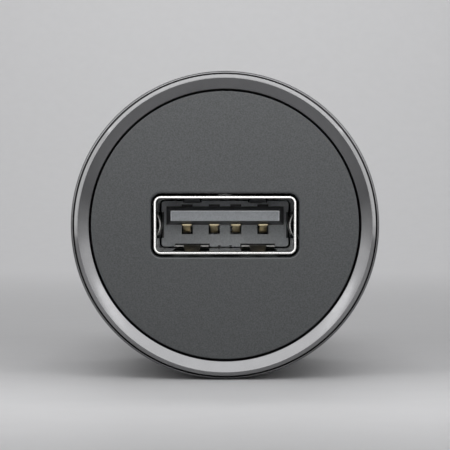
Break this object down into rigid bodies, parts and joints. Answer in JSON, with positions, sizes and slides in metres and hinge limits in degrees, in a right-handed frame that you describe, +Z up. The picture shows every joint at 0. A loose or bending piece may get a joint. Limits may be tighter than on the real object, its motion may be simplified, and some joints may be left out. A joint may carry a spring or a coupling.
{
  "type": "usb car charger",
  "caption": "Car charger plug: bevelled metal head ring round a recessed black face with a type A port, and a plug barrel with sprung side contacts and a sprung centre pin.",
  "frame": {"origin": "centre of the bounding box at the bottom, where the head rests", "axes": "+Y along the charger's axis from the port towards the centre pin, +Z up, +X to the right of someone who looks at the port"},
  "size_m": [0.0282, 0.062, 0.0282],
  "materials": {
    "gunmetal": "satin anodised",
    "black_matt": "fine matt grain",
    "black_satin": "satin",
    "nickel": "nickel plate",
    "spring_steel": "drawn wire",
    "gold": "gold flash",
    "board": "solder mask",
    "ferrite": "matt",
    "copper": "enamelled copper wire",
    "can": "plain",
    "chip": "moulded",
    "ceramic": "glazed"
  },
  "bodies": {
    "charger": {"bezel_ring": "gunmetal", "head_sleeve": "gunmetal", "face_plate": "black_matt", "main_housing": "black_satin", "nose_cap": "black_satin", "pin_spring": "spring_steel", "positive_terminal": "nickel", "usb_shell": "nickel", "usb_insulator": "black_satin", "contact_supply": "gold", "contact_data_minus": "gold", "contact_data_plus": "gold", "contact_ground": "gold", "circuit_board": "board", "inductor_core": "ferrite", "inductor_winding": "copper", "input_capacitor": "can", "output_capacitor": "can", "converter_chip": "chip", "charge_control_chip": "chip", "rectifier_diode": "chip", "board_fuse": "ceramic", "ceramic_capacitor_1": "ceramic", "ceramic_capacitor_2": "ceramic", "ceramic_capacitor_3": "ceramic", "resistor_1": "chip", "resistor_2": "chip", "resistor_3": "chip", "resistor_4": "chip"},
    "plug_pin": {"centre_pin": "nickel"},
    "left_leaf": {"side_contact_left": "nickel"},
    "right_leaf": {"side_contact_right": "nickel"}
  },
  "joints": [
    {"name": "pin_press", "type": "slide", "parent": "charger", "child": "plug_pin", "axis": [0, -1, 0], "range_m": [0, 0.0024], "stiffness_N_per_m": 1500, "springref_m": -0.002, "deforming": ["pin_spring"]},
    {"name": "left_leaf_flex", "type": "hinge", "parent": "charger", "child": "left_leaf", "pos_m": [-0.0082, -0.0041, 0.01408], "axis": [0, 0, -1], "range_deg": [0, 5.5], "stiffness_Nm_per_rad": 0.45, "springref_deg": -1.72},
    {"name": "right_leaf_flex", "type": "hinge", "parent": "charger", "child": "right_leaf", "pos_m": [0.0082, -0.0041, 0.01408], "axis": [0, 0, 1], "range_deg": [0, 5.5], "stiffness_Nm_per_rad": 0.45, "springref_deg": -1.72}
  ]
}
